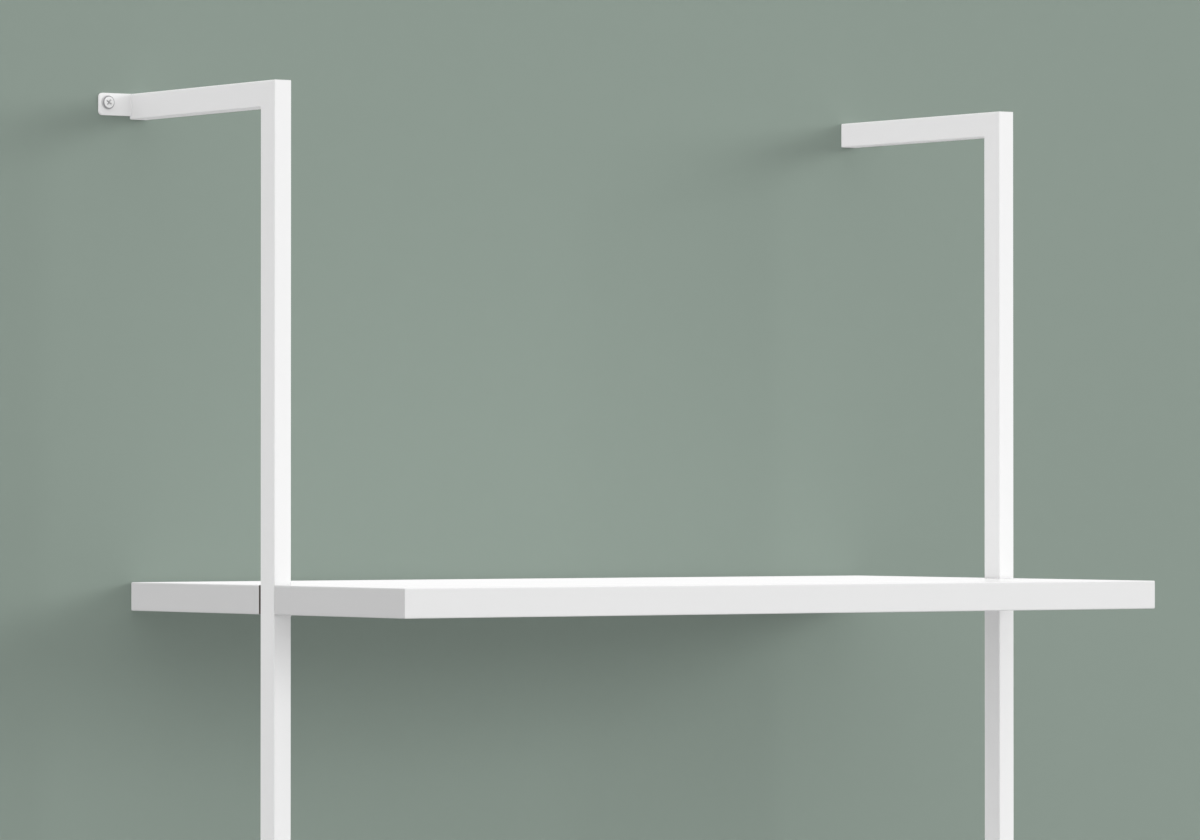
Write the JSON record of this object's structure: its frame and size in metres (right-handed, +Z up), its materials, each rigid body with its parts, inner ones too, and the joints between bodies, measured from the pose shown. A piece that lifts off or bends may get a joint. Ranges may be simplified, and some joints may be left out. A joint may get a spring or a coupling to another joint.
{
  "type": "ladder bookcase",
  "caption": "Tall open ladder bookcase: mitred steel tube side frames screwed to the wall at the top, notched shelf boards on hidden brackets, levelling feet.",
  "frame": {"origin": "on the floor, at the middle of the bounding box of the whole bookcase, wall screws included", "axes": "+X to the right across the shelves, +Y to the back towards the wall, +Z up"},
  "size_m": [0.659, 0.38, 1.852],
  "materials": {
    "powder_coat": "white satin powder coat on steel tube and plate",
    "white_laminate": "white satin laminate on wood board, edges banded to match",
    "painted_screw": "white painted steel screw",
    "zinc_steel": "bright zinc plating",
    "foot_nylon": "moulded off-white nylon"
  },
  "bodies": {
    "bookcase": {"left_upper_post": "powder_coat", "left_wall_arm": "powder_coat", "left_wall_tab": "powder_coat", "left_lower_post": "powder_coat", "left_post_sleeve": "zinc_steel", "left_foot_plug": "foot_nylon", "right_upper_post": "powder_coat", "right_wall_arm": "powder_coat", "right_wall_tab": "powder_coat", "right_lower_post": "powder_coat", "right_post_sleeve": "zinc_steel", "right_foot_plug": "foot_nylon", "shelf_1": "white_laminate", "left_shelf_bracket_1": "powder_coat", "right_shelf_bracket_1": "powder_coat", "shelf_2": "white_laminate", "left_shelf_bracket_2": "powder_coat", "right_shelf_bracket_2": "powder_coat", "shelf_3": "white_laminate", "left_shelf_bracket_3": "powder_coat", "right_shelf_bracket_3": "powder_coat", "shelf_4": "white_laminate", "left_shelf_bracket_4": "powder_coat", "right_shelf_bracket_4": "powder_coat", "shelf_5": "white_laminate", "left_shelf_bracket_5": "powder_coat", "right_shelf_bracket_5": "powder_coat", "shelf_inserts": "zinc_steel", "shelf_screws": "zinc_steel", "post_joint_screws": "zinc_steel", "wall_screws": "painted_screw"},
    "left_base": {"left_foot_base": "foot_nylon"},
    "left_stem": {"left_foot_stem": "zinc_steel"},
    "right_base": {"right_foot_base": "foot_nylon"},
    "right_stem": {"right_foot_stem": "zinc_steel"}
  },
  "joints": [
    {"name": "left_base_lift", "type": "slide", "parent": "bookcase", "child": "left_base", "axis": [0, 0, 1], "range_m": [0, 0.01]},
    {"name": "left_stem_turn", "type": "hinge", "parent": "left_base", "child": "left_stem", "pos_m": [-0.2985, -0.0275, 0.007], "axis": [0, 0, 1], "range_deg": [0, 3600]},
    {"name": "right_base_lift", "type": "slide", "parent": "bookcase", "child": "right_base", "axis": [0, 0, 1], "range_m": [0, 0.01]},
    {"name": "right_stem_turn", "type": "hinge", "parent": "right_base", "child": "right_stem", "pos_m": [0.2985, -0.0275, 0.007], "axis": [0, 0, 1], "range_deg": [0, 3600]}
  ],
  "couplings": [
    {"joint": "left_stem_turn", "follows": "left_base_lift", "rad_per_m": 6283.2},
    {"joint": "right_stem_turn", "follows": "right_base_lift", "rad_per_m": 6283.2}
  ]
}
